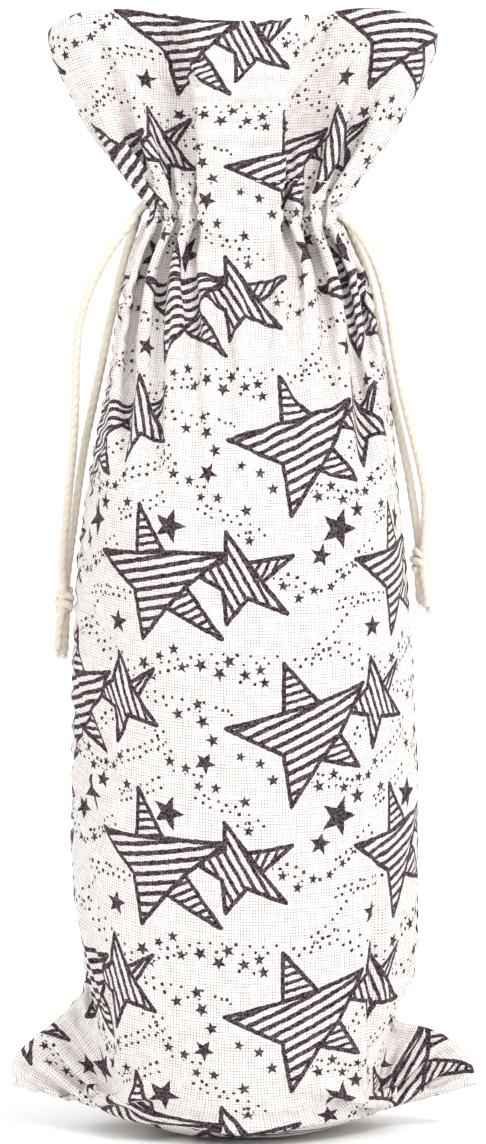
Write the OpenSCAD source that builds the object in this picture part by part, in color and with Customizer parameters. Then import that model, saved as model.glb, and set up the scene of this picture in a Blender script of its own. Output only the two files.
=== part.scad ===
// Cotton drawstring gift sack, filled out and cinched at the neck, standing on its base.
// +Z is up, the front panel faces -Y and the bottom seam runs along X.
// The origin is on the floor, under the middle of the sack.

/* [Sack] */
// Width across the two bottom corners
corner_span = 154; // [130:2:170]
// Width of the filled body
body_w = 112; // [96:2:124]
// Depth of the filled body, front to back
body_d = 89; // [70:1:100]
// Height from the floor to the folded top edge
sack_h = 367; // [330:1:400]
// Thickness of one layer of the cotton
cloth = 0.9; // [0.6:0.1:1.2]

/* [Neck and frill] */
// Width of the neck where the cords draw it in
neck_w = 60; // [52:2:72]
// Depth of the neck, front to back
neck_d = 25; // [24:1:34]
// Width of the frill near its top
frill_w = 130; // [110:2:150]
// Depth of the frill at its top edge
frill_d = 37; // [28:1:50]

/* [Cords] */
// Diameter of the twisted cord
cord_d = 3; // [2.4:0.2:3.4]
// How far each cord can still be drawn out of the neck
pull_travel = 14; // [6:1:14]
// Width of each overhand knot
knot_w = 7; // [6:0.5:7]
// Height of each overhand knot
knot_h = 10.4; // [9:0.2:11]

/* [Stitching] */
// Width of the seam allowance inside the side and bottom seams
seam_w = 4; // [3:0.5:6]
// Width of a line of channel stitches
stitch_w = 0.8; // [0.5:0.1:1.2]

/* [Hidden] */

// Number of cells across each panel
columns = 24;
// Thickness of the seam allowance, which lies between the two panels.
seam_gap = 0.8;
// Share of the half width over which the base lies flat.
flat_share = 0.45;

// Scale of the heights above the base, against a sack 367 mm tall.
k = sack_h / 367;
// How far round the neck each panel reaches where a slit lets the cords out.
slit_angle = 72;

// One row of the panel: side seam x and z, middle y and z, how far round the row reaches,
// how pinched its section is (2 is a flat pinched corner, 1 is an ellipse), layers of cloth.
rows = [
    [corner_span / 2, 17, 0, cloth / 2, 90, 2, 1],
    [corner_span / 2 - 2, 25, 12, cloth / 2, 90, 2, 1],
    [corner_span / 2 - 11, 32, 24, cloth / 2, 90, 2, 1],
    [corner_span / 2 - 19, 41, 34, cloth / 2, 90, 1.9, 1],
    [body_w / 2 - 5, 50, body_d / 2 - 3.5, 4, 90, 1.7, 1],
    [body_w / 2 - 4.5, 58, body_d / 2 - 1, 12, 90, 1.4, 1],
    [body_w / 2 - 2, 68, body_d / 2 - 0.5, 26, 90, 1.2, 1],
    [body_w / 2 - 0.5, 82, body_d / 2, 50, 90, 1, 1],
    [body_w / 2, 100 * k, body_d / 2, 80 * k, 90, 1, 1],
    [body_w / 2, 125 * k, body_d / 2, 115 * k, 90, 1, 1],
    [body_w / 2 - 0.5, 150 * k, body_d / 2 - 0.5, 147 * k, 90, 1, 1],
    [body_w / 2 - 2, 180 * k, body_d / 2 - 1.5, 180 * k, 90, 1, 1],
    [body_w / 2 - 4.5, 207 * k, body_d / 2 - 3.5, 207 * k, 90, 1, 1],
    [body_w / 2 - 7, 224 * k, body_d / 2 - 6, 225 * k, 90, 1, 1],
    [body_w / 2 - 10, 240 * k, body_d / 2 - 10, 241 * k, 90, 1, 1],
    [body_w / 2 - 13, 254 * k, body_d / 2 - 14, 255 * k, 90, 1, 1],
    [body_w / 2 - 16, 268 * k, body_d / 2 - 18, 268 * k, 90, 1, 1],
    [body_w / 2 - 19, 282 * k, body_d / 2 - 23, 282 * k, 90, 1, 1],
    [neck_w / 2 + 3, 293 * k, neck_d / 2 + 3, 293 * k, 90, 1, 1],
    [neck_w / 2, 297.5 * k, neck_d / 2, 297.5 * k, slit_angle, 1, 2],
    [neck_w / 2, 306.5 * k, neck_d / 2, 306.5 * k, slit_angle, 1, 2],
    [neck_w / 2 + 4, 311 * k, neck_d / 2 + 0.5, 311 * k, 90, 1, 2],
    [frill_w / 2 - 19, 325 * k, frill_d / 2 - 4.5, 325 * k, 90, 1, 2],
    [frill_w / 2 - 11, 339 * k, frill_d / 2 - 3, 339 * k, 90, 1, 2],
    [frill_w / 2 - 4, 351 * k, frill_d / 2 - 1.5, 351 * k, 90, 1, 2],
    [frill_w / 2, 360 * k, frill_d / 2 - 0.5, 361 * k, 90, 1, 2],
    [frill_w / 2 - 2, sack_h - 2, frill_d / 2, sack_h, 90, 1, 2]
];
last_row = len(rows) - 1;
// Rows that end the closed seams below and above the slits
below_slit = 18;
above_slit = 21;
// How far a line of stitches stands out of the cloth's middle, and how far it reaches in
stitch_out = 0.7;
stitch_in = 0.4;

// The two cords cross the neck one above the other.
left_z = 304 * k;
right_z = 300 * k;
// Where a cord's run ends, just inside the slit
run_end = neck_w / 2 - 0.2;
// Half the distance between a cord's two strands at the slit
strand_y = cord_d / 2 + 0.7;
// How far in from the neck's front and back the gathers keep the cords
gather_depth = 8.2;
bend_y = neck_d / 2 - gather_depth;

// Routes of the free strands, from the casing down to the knot, and of the cut ends below it.
left_outer_route = [[-32.6, -2.2, 303], [-37, -2.4, 297], [-43, -2.5, 289], [-49, -2.5, 278],
    [-53, -2.4, 266], [-54.5, -2.2, 252], [-54.8, -2, 238], [-55.5, -2, 225], [-57, -1.9, 210],
    [-58.4, -1.8, 196], [-59.2, -1.7, 186], [-59, -1.6, 177]];
left_inner_route = [[-32.6, 2.2, 303], [-35.6, 2.4, 296], [-38.7, 2.6, 286], [-41.3, 2.8, 275],
    [-44, 2.8, 263], [-46.4, 2.6, 251], [-49.2, 2.5, 238], [-51.9, 2.4, 225], [-54.2, 2.2, 210],
    [-56, 2, 196], [-57.4, 1.8, 186], [-58.2, 1.6, 177]];
left_knot_at = [-58.6, 0, 174];
left_outer_tail_route = [[-59.4, -1.6, 171], [-60.2, -1.9, 165], [-60.6, -2.1, 158]];
left_inner_tail_route = [[-58.2, 1.7, 171], [-58.4, 1.9, 165], [-58.8, 2.1, 157]];
right_outer_route = [[32.6, -2.2, 299], [37, -2.4, 295], [41.5, -2.5, 288], [45, -2.6, 279],
    [47.5, -2.6, 268], [49.5, -2.5, 255], [52, -2.4, 242], [55, -2.3, 230], [57.8, -2.2, 219],
    [59.6, -2, 209], [59.6, -1.8, 199], [59, -1.6, 190]];
right_inner_route = [[32.6, 2.2, 299], [36, 2.4, 293], [39.2, 2.6, 285], [41.8, 2.7, 275],
    [44.3, 2.8, 263], [46.8, 2.8, 251], [49.6, 2.7, 238], [52.2, 2.5, 226], [54.6, 2.3, 214],
    [56.2, 2, 204], [57.2, 1.8, 197], [57.8, 1.6, 190]];
right_knot_at = [58.2, 0, 187];
right_outer_tail_route = [[59, -1.6, 184], [59.8, -1.9, 178], [60.4, -2.1, 172]];
right_inner_tail_route = [[57.6, 1.7, 184], [57.8, 1.9, 179], [58.2, 2.1, 174]];

function unit(v) = v / norm(v);

// How much of the ear's rise a point at share s of the half width takes.
function rise(s) = pow(max(0, (abs(s) - flat_share) / (1 - flat_share)), 1.7);

// Middle surface of the cloth at column share s from -1 to 1 on row r.
function mid(r, s) =
    let(row = rows[r], angle = row[4] * s, flat = min(1, max(0, row[5] - 1)))
    [row[0] * (flat * s + (1 - flat) * sin(angle)),
        -row[2] * pow(max(0, cos(angle)), row[5]),
        row[3] + (row[1] - row[3]) * rise(s)];

function share(i) = 2 * i / columns - 1;

// Outward normal of the front panel at column i, row r.
function normal(i, r) =
    let(across = mid(r, share(min(columns, i + 1))) - mid(r, share(max(0, i - 1))),
        up = mid(min(last_row, r + 1), share(i)) - mid(max(0, r - 1), share(i)))
    unit(cross(across, up));

// A point of the panel: side 1 is the outer face and -1 the inner one.
function panel_point(i, r, side) =
    let(n = normal(i, r), half = rows[r][6] * cloth / 2)
    mid(r, share(i)) + [0, -seam_gap / 2 - half * abs(n[1]), 0] + side * half * n;

// A closed sheet with an outer and an inner face, and a rim all round.
module sheet(outer, inner, across, up) {
    stride = across + 1;
    offset_in = len(outer);
    function at(i, j) = j * stride + i;
    cells = [for (j = [0:up - 1], i = [0:across - 1]) [i, j]];
    face_out = [for (c = cells, h = [0, 1])
        let(a = at(c[0], c[1]), b = at(c[0] + 1, c[1]),
            d = at(c[0] + 1, c[1] + 1), e = at(c[0], c[1] + 1))
        h == 0 ? [a, d, b] : [a, e, d]];
    face_in = [for (f = face_out) [f[0], f[2], f[1]] + [1, 1, 1] * offset_in];
    rim = concat([for (i = [0:across]) at(i, 0)], [for (j = [1:up]) at(across, j)],
        [for (i = [across - 1:-1:0]) at(i, up)], [for (j = [up - 1:-1:1]) at(0, j)]);
    turns = len(rim);
    face_rim = [for (q = [0:turns - 1], h = [0, 1])
        let(a = rim[q], b = rim[(q + 1) % turns])
        h == 0 ? [a, b, b + offset_in] : [a, b + offset_in, a + offset_in]];
    polyhedron(concat(outer, inner), concat(face_out, face_in, face_rim), convexity = 8);
}

module panel() {
    outer = [for (r = [0:last_row], i = [0:columns]) panel_point(i, r, 1)];
    inner = [for (r = [0:last_row], i = [0:columns]) panel_point(i, r, -1)];
    sheet(outer, inner, columns, last_row);
}

// A flat strip of seam allowance that follows a path in the XZ plane.
module seam_strip(path, sign_in) {
    last = len(path) - 1;
    inner = [for (q = [last:-1:0])
        let(along = unit(path[min(last, q + 1)] - path[max(0, q - 1)]))
        path[q] + sign_in * seam_w * [-along[1], along[0]]];
    rotate([90, 0, 0])
        linear_extrude(seam_gap, center = true)
            polygon(concat(path, inner));
}

// Side seam from row a to row b, on the left (-1) or right (1).
module side_seam_run(side, a, b) {
    path = [for (r = [a:b]) [side * rows[r][0], rows[r][1]]];
    seam_strip(path, side);
}

module side_seam(side) {
    color("ivory") {
        side_seam_run(side, 1, below_slit);
        side_seam_run(side, above_slit, last_row);
    }
}

// A line of stitches through one half of the neck, at height z.
module channel_stitches(half_w, half_d, z, side) {
    steps = 28;
    first_angle = 6;
    arc = [for (q = [0:steps]) first_angle + q * (180 - 2 * first_angle) / steps];
    outer = [for (t = arc) [(half_w + stitch_out) * cos(t), side * (half_d + stitch_out) * sin(t)]];
    inner = [for (q = [steps:-1:0])
        [(half_w - stitch_in) * cos(arc[q]), side * (half_d - stitch_in) * sin(arc[q])]];
    color("white")
        translate([0, 0, z])
            linear_extrude(stitch_w)
                polygon(concat(outer, inner));
}

// A cord swept along points; each ring faces the way the cord runs, and reference is a
// direction that the cord never takes.
module cord_tube(points, reference = [0, 1, 0], sides = 8) {
    last = len(points) - 1;
    function heading(q) = unit(points[min(last, q + 1)] - points[max(0, q - 1)]);
    function across(h) = unit(cross(reference, h));
    rings = [for (q = [0:last], s = [0:sides - 1])
        let(h = heading(q), u = across(h), v = cross(h, u), t = s * 360 / sides)
        points[q] + cord_d / 2 * (u * cos(t) + v * sin(t))];
    walls = [for (q = [0:last - 1], s = [0:sides - 1], h = [0, 1])
        let(a = q * sides + s, b = q * sides + (s + 1) % sides)
        h == 0 ? [a, b + sides, b] : [a, a + sides, b + sides]];
    caps = [[for (s = [0:sides - 1]) s], [for (s = [sides - 1:-1:0]) last * sides + s]];
    color("oldlace")
        polyhedron(rings, concat(walls, caps), convexity = 6);
}

// The stretch of a cord inside the neck: in along the front, round, and out along the back.
// It is drawn for the left cord, whose ends leave at -X.
module cord_run(z) {
    leg_x = -neck_w / 2 + pull_travel + 1;
    turn_x = 16;
    turn = [for (t = [-75:15:75]) [turn_x + bend_y * cos(t), bend_y * sin(t), z]];
    cord_tube(concat(
        [[-run_end, -strand_y, z], [-run_end + 7, -strand_y, z], [leg_x, -strand_y, z],
            [leg_x + 4, -(strand_y + bend_y) / 2, z], [leg_x + 8, -bend_y, z],
            [4, -bend_y, z], [turn_x, -bend_y, z]],
        turn,
        [[turn_x, bend_y, z], [4, bend_y, z], [leg_x + 8, bend_y, z],
            [leg_x + 4, (strand_y + bend_y) / 2, z], [leg_x, strand_y, z],
            [-run_end + 7, strand_y, z], [-run_end, strand_y, z]]), [0, 0, 1]);
}

// Both strands tied together in an overhand knot.
module knot(at) {
    steps = 10;
    color("oldlace")
        translate(at)
            rotate_extrude($fn = 32)
                polygon([for (q = [0:steps])
                    let(t = -90 + q * 180 / steps)
                    [max(0, knot_w / 2 * cos(t)), knot_h / 2 * sin(t)]]);
}

module front_panel() { color("whitesmoke") panel(); }

module back_panel() { color("whitesmoke") mirror([0, 1, 0]) panel(); }

module left_side_seam() { side_seam(-1); }

module right_side_seam() { side_seam(1); }

module bottom_seam() {
    path = [for (i = [1:columns - 1])
        [mid(0, share(i))[0], rows[0][1] * rise(share(i))]];
    color("ivory") seam_strip(path, 1);
}

module front_lower_stitches() {
    channel_stitches(rows[below_slit][0] - 1, rows[below_slit][2] - 1, rows[below_slit][3] + 1, -1);
}

module front_upper_stitches() {
    channel_stitches(rows[above_slit][0] - 1, rows[above_slit][2], rows[above_slit][3] - 0.8, -1);
}

module back_lower_stitches() {
    channel_stitches(rows[below_slit][0] - 1, rows[below_slit][2] - 1, rows[below_slit][3] + 1, 1);
}

module back_upper_stitches() {
    channel_stitches(rows[above_slit][0] - 1, rows[above_slit][2], rows[above_slit][3] - 0.8, 1);
}

module left_cord_run() { cord_run(left_z); }

module right_cord_run() { mirror([1, 0, 0]) cord_run(right_z); }

module left_outer_strand() { cord_tube(left_outer_route); }

module left_inner_strand() { cord_tube(left_inner_route); }

module left_knot() { knot(left_knot_at); }

module left_outer_tail() { cord_tube(left_outer_tail_route); }

module left_inner_tail() { cord_tube(left_inner_tail_route); }

module right_outer_strand() { cord_tube(right_outer_route); }

module right_inner_strand() { cord_tube(right_inner_route); }

module right_knot() { knot(right_knot_at); }

module right_outer_tail() { cord_tube(right_outer_tail_route); }

module right_inner_tail() { cord_tube(right_inner_tail_route); }

front_panel();
back_panel();
left_side_seam();
right_side_seam();
bottom_seam();
front_lower_stitches();
front_upper_stitches();
back_lower_stitches();
back_upper_stitches();
left_cord_run();
right_cord_run();
left_outer_strand();
left_inner_strand();
left_knot();
left_outer_tail();
left_inner_tail();
right_outer_strand();
right_inner_strand();
right_knot();
right_outer_tail();
right_inner_tail();
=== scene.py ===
"""Looks of the drawstring gift sack: printed cotton, twisted cords, seams and stitches.

A shape is worked out in millimetres, and becomes metres when it becomes a mesh.
"""
import math
from math import pi

import bpy
import numpy as np
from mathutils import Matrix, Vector
from numpy.linalg import norm


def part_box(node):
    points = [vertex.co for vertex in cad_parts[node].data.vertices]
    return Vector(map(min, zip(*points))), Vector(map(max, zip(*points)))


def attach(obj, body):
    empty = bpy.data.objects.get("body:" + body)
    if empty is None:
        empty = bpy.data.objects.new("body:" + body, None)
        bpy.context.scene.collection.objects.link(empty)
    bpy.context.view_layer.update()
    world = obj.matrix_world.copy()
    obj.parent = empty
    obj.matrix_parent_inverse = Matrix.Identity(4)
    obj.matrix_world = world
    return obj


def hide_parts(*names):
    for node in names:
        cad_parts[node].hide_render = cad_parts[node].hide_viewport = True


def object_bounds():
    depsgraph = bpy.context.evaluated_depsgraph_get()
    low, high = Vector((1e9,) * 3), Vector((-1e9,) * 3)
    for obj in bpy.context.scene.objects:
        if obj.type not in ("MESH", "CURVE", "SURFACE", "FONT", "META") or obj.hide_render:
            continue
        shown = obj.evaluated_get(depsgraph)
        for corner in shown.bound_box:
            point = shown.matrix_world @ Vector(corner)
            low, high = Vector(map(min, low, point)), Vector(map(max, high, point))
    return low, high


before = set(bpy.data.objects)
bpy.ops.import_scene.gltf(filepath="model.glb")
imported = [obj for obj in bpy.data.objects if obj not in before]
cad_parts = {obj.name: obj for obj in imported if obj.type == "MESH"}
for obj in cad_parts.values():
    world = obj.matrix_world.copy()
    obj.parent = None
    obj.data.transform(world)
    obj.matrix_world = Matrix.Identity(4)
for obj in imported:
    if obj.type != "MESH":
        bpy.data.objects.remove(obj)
CAD_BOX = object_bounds()
MM = 0.001
rng = np.random.default_rng(7)


def box_mm(node):
    """Lowest and highest corners of a CAD node in millimetres."""
    low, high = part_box(node)
    return np.array(low) / MM, np.array(high) / MM


SACK_H = CAD_BOX[1][2] / MM
SIZE = SACK_H / 367                 # the profiles below are drawn for a sack 367 mm tall
LEFT_RUN, RIGHT_RUN = box_mm("left_cord_run"), box_mm("right_cord_run")
NECK_Z = (LEFT_RUN[0][2] + RIGHT_RUN[1][2]) / 2 - 1
LOWER_STITCH_Z = box_mm("front_lower_stitches")[0][2]
UPPER_STITCH_Z = box_mm("front_upper_stitches")[1][2]

# ---- camera, light and floor

VIEW_DISTANCE = 1.5
VIEW_HEIGHT = 0.375
VIEW_ELEVATION = math.radians(3)
MIDDLE_OF_SACK = Vector((0, 0, SACK_H * MM / 2))


def put_in_scene(name, data, place, heading):
    thing = bpy.data.objects.new(name, data)
    bpy.context.scene.collection.objects.link(thing)
    thing.location = place
    thing.rotation_euler = heading.to_track_quat("-Z", "Y").to_euler()
    return thing


def add_camera():
    data = bpy.data.cameras.new("camera")
    data.sensor_width = 36
    data.lens = data.sensor_width * VIEW_DISTANCE / VIEW_HEIGHT
    back = Vector((0, -math.cos(VIEW_ELEVATION), math.sin(VIEW_ELEVATION)))
    place = MIDDLE_OF_SACK + back * VIEW_DISTANCE
    bpy.context.scene.camera = put_in_scene("camera", data, place, -back)


def add_area_light(name, place, size, power):
    data = bpy.data.lights.new(name, "AREA")
    data.size, data.energy = size, power
    put_in_scene(name, data, place, MIDDLE_OF_SACK - Vector(place))


def add_studio():
    add_area_light("key", (0.8, -1.0, 1.3), 0.4, 7)
    add_area_light("fill", (-1.2, -0.9, 0.6), 0.6, 1.5)
    world = bpy.data.worlds.new("studio")
    world.use_nodes = True
    sky = world.node_tree.nodes["Background"].inputs
    sky["Color"].default_value = (1, 0.995, 0.985, 1)
    sky["Strength"].default_value = 0.68
    bpy.context.scene.world = world
    settings = bpy.context.scene.view_settings
    settings.view_transform = "Standard"
    settings.look = "Medium High Contrast"
    settings.exposure = 0.5
    reach = 4
    corners = [(-reach, -reach, 0), (reach, -reach, 0), (reach, reach, 0), (-reach, reach, 0)]
    floor = mesh_object("floor", corners, [(0, 1, 2, 3)], floor_material())


# ---- small tools

def mesh_object(name, points, faces, material):
    """A smooth shaded mesh object in metres, at the origin."""
    mesh = bpy.data.meshes.new(name)
    mesh.from_pydata([tuple(p) for p in points], [], faces)
    mesh.polygons.foreach_set("use_smooth", [True] * len(mesh.polygons))
    mesh.materials.append(material)
    piece = bpy.data.objects.new(name, mesh)
    bpy.context.scene.collection.objects.link(piece)
    return piece


def grid_faces(rows, columns, flip=False, wrap=False):
    """Quads over a grid of points stored row by row."""
    cells = columns if wrap else columns - 1
    row, column = np.meshgrid(np.arange(rows - 1), np.arange(cells), indexing="ij")
    a = row * columns + column
    b = row * columns + (column + 1) % columns
    c, d = b + columns, a + columns
    quads = np.stack([a, d, c, b] if flip else [a, b, c, d], axis=-1)
    return quads.reshape(-1, 4)


def hermite(x, xs, ys):
    """A smooth curve through the points xs, ys, at x."""
    xs, ys = np.asarray(xs, float), np.asarray(ys, float)
    slope = np.gradient(ys, xs)
    k = np.clip(np.searchsorted(xs, x, side="right") - 1, 0, len(xs) - 2)
    h = xs[k + 1] - xs[k]
    t = np.clip((x - xs[k]) / h, 0, 1)
    return ((2 * t**3 - 3 * t**2 + 1) * ys[k] + (t**3 - 2 * t**2 + t) * h * slope[k]
            + (3 * t**2 - 2 * t**3) * ys[k + 1] + (t**3 - t**2) * h * slope[k + 1])


def ramp(x, a, b):
    """Rises smoothly from 0 at a to 1 at b."""
    t = np.clip((x - a) / (b - a), 0, 1)
    return t * t * (3 - 2 * t)


def unit(rows):
    return rows / (norm(rows, axis=-1, keepdims=True) + 1e-9)


def along_path(points, share):
    """Points at these shares of a polyline's length, and the shares that its own points are at."""
    points = np.array(points, float)
    steps = norm(np.diff(points, axis=0), axis=1)
    length = np.concatenate([[0], np.cumsum(steps)])
    at = share * length[-1]
    places = [np.interp(at, length, points[:, k]) for k in range(points.shape[1])]
    return np.stack(places, axis=-1), length / length[-1]


# ---- shape of the filled sack

PANEL_W = 160.0      # flat width of a panel between the side seams
NECK_V = 322.0       # flat height from the bottom seam to the cords
FRILL_V = 66.0       # flat height from the cords to the top fold
HALF_W = PANEL_W / 2
CELL = 2.0           # simulated cell of cloth
FACING_H = 48        # how far the folded top edge reaches down inside
THIN = 0.45          # each panel's least distance from the seam plane while it settles
FLAT_BASE = 12       # the base lies on the floor this far each side of its middle
CORNER_LIFT = 14     # and is this high at its two corners

# Side seams from the bottom corner up to the neck: x, z.
LEFT_EDGE = [
    (75, 15), (77, 20), (75.5, 26.5), (70, 31.5), (59.5, 40), (52.5, 47), (50.5, 53), (52.5, 66),
    (55, 80), (56, 96), (55.5, 120), (55.5, 155), (54, 187), (51.5, 207), (48.5, 224), (45, 240),
    (42, 254), (39, 270), (35, 287), (30, 301)]
RIGHT_EDGE = [
    (76, 14.5), (77, 19), (75, 26), (67, 33), (56, 35.5), (48.5, 36.5), (47.5, 40), (51, 46), (55.5, 53),
    (57, 63), (57, 90), (57, 121), (55.5, 156), (53, 188), (50.5, 209), (48.5, 232), (46, 249),
    (42.5, 264), (38.5, 283), (30, 301)]
# Middle of the panel from the bottom seam, under the base and up the front to the neck:
# depth, z and how pinched the section is (2 is a flat corner, 1 is an ellipse).
MIDDLE = [
    (0.4, 0.6, 2), (12, 0.6, 2), (24, 0.6, 2), (34, 0.8, 1.9), (41, 5, 1.7), (43.5, 13, 1.4),
    (44, 28, 1.2), (44.5, 50, 1), (44.5, 80, 1), (44.5, 115, 1), (44, 147, 1), (43, 180, 1), (41, 207, 1),
    (38.5, 225, 1), (34.5, 241, 1), (30.5, 255, 1), (26, 268, 1), (21, 281, 1), (16, 292, 1),
    (12.5, 301, 1)]
# The gift inside: z, half width, half depth.
GIFT = [
    (1, 30, 27), (5, 40, 35), (12, 45, 40), (25, 48, 42.3), (45, 50.3, 43), (60, 52.5, 43.4),
    (80, 54.6, 43.5), (110, 55, 43.5), (150, 54.3, 43), (180, 52.8, 42), (207, 50, 39.5), (224, 47, 36.5),
    (240, 43.5, 32.5), (254, 39.5, 28), (268, 35, 23), (282, 28, 16), (293, 20, 9), (300, 8, 4)]
# Plan of the gathers, from the middle of the panel to its side seam: u, x, y.
NECK_RIGHT = [
    (0, 0, -13), (8, 8, -13), (13, 12.6, -12.8), (20, 12, -6.8), (26, 15.2, -10.6), (31, 18.5, -11.4),
    (38, 19.5, -5.6), (44, 22, -9.7), (49, 24.8, -8.8), (56, 25.5, -4.4), (62, 27.6, -7),
    (67, 29.6, -5.4), (73, 29.2, -2.6), (80, 30, -0.6)]
NECK_LEFT = [
    (0, 0, -13), (9, 9, -13), (14.5, 14, -12.8), (22, 13.2, -6.6), (29, 17, -10.6), (34, 20, -10),
    (41, 20.5, -4.8), (48, 23.8, -9), (54, 25.6, -6.6), (60, 26, -4.2), (66, 28.6, -6.4),
    (72, 30.4, -4.4), (76, 29.8, -2), (80, 30, -0.6)]
MIDWAY_RIGHT = [
    (0, 0, -16.5), (14, 14, -16.5), (21, 11.8, -9.5), (28, 15, -3.2), (36, 23.5, -3.8), (45, 30.5, -10),
    (54, 36.5, -5), (63, 42, -11.5), (72, 47, -6), (80, 47, -0.6)]
MIDWAY_LEFT = [
    (0, 0, -16.5), (15, 15, -16.5), (22, 12.6, -9.5), (29, 16, -3.2), (37, 24.5, -4), (46, 31.5, -10),
    (55, 37, -5.5), (64, 42.5, -11), (72, 47, -5.5), (80, 47, -0.6)]
TOP_RIGHT = [
    (0, 0, -18), (16, 15.6, -16), (30, 24.5, -6.5), (42, 34.5, -10.5), (56, 46.5, -16), (68, 57.5, -12.5),
    (75, 62.5, -7.5), (80, 64.5, -0.6)]
TOP_LEFT = [
    (0, 0, -18), (16, 15.8, -16), (29, 24.5, -6.8), (41, 34, -10), (56, 46.5, -15.5), (68, 57, -12),
    (75, 62.5, -7), (80, 64.5, -0.6)]
# Long folds down the shoulder, mirrored on the back: x at the cords, how far x grows in a
# millimetre down, width, and height outward.
SHOULDER_RIDGES = [
    (-19.5, -0.05, 3, 2.2), (-7, 0, 7, -3.2), (11, 0.04, 3.2, 3.2), (19.5, 0.12, 3.2, -2.4),
    (27, 0.2, 3, 1.2)]
# How much of its flat height the frill stands up by, from its middle to its side seam.
FRILL_RISE = [(0, 0.905), (15, 0.915), (28, 0.955), (42, 0.98), (55, 0.975), (68, 0.94), (80, 0.845)]


def gather_plan(u, right, left):
    """Plan positions of one row of the panel, from its right hand and left hand lists."""
    plan = np.zeros(u.shape + (2,))
    for points, here in ((right, u >= 0), (left, u < 0)):
        uu, xx, yy = np.array(points, float).T
        plan[here, 0] = np.sign(u[here]) * hermite(np.abs(u[here]), uu, xx)
        plan[here, 1] = hermite(np.abs(u[here]), uu, yy)
    return plan


def body_shape(u, v):
    """The panel wrapped round the gift and tucked under its base."""
    share = np.clip(v / NECK_V, 0, 1)
    middle, knots = along_path([m[:2] for m in MIDDLE], share)
    pinch = np.interp(share, knots, [m[2] for m in MIDDLE])[:, None]
    right, _ = along_path(RIGHT_EDGE, share)
    left, _ = along_path(LEFT_EDGE, share)
    s = u / HALF_W
    edge = np.where((s >= 0)[None, :, None], right[:, None], left[:, None])
    angle = pi / 2 * s
    flat = np.clip(pinch - 1, 0, 1)
    rise = (np.clip(np.abs(s) - 0.38, 0, None) / 0.62) ** 1.45
    shape = np.zeros((len(v), len(u), 3))
    shape[..., 0] = edge[..., 0] * (flat * s + (1 - flat) * np.sin(angle))
    shape[..., 1] = -0.6 - middle[:, :1] * np.clip(np.cos(angle), 0, None) ** pinch
    shape[..., 2] = middle[:, 1:] + (edge[..., 1] - middle[:, 1:]) * rise
    return shape


def front_start(u, v):
    """Designed shape of the front panel before the cloth settles."""
    shape = body_shape(u, v)
    neck = gather_plan(u, NECK_RIGHT, NECK_LEFT)
    midway = gather_plan(u, MIDWAY_RIGHT, MIDWAY_LEFT)
    top = gather_plan(u, TOP_RIGHT, TOP_LEFT)
    full_rise = hermite(np.abs(u), *np.array(FRILL_RISE).T)
    for j, h in enumerate(v - NECK_V):
        if h > -40:
            w = ramp(h, -40, -5)
            spread = 1 + (np.abs(shape[j, [0, -1], 0]).mean() / 30 - 1) * ramp(h, -3, -12)
            shape[j, :, :2] = shape[j, :, :2] * (1 - w) + neck * [spread, 1] * w
            shape[j, :, 2] = shape[j, :, 2] * (1 - w) + (NECK_Z + h) * w
        if h > 4:
            t, t2 = np.clip((h - 4) / 22, 0, 1) ** 0.85, np.clip((h - 26) / 34, 0, 1)
            lower = neck * (1 - t) + midway * t
            shape[j, :, :2] = lower * (1 - t2) + top * t2
        if h > 0:
            share = ramp(h, 0, 45)
            shape[j, :, 2] = NECK_Z + h * (1 - share + full_rise * share)
    return shape


# ---- how the cloth settles

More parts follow.
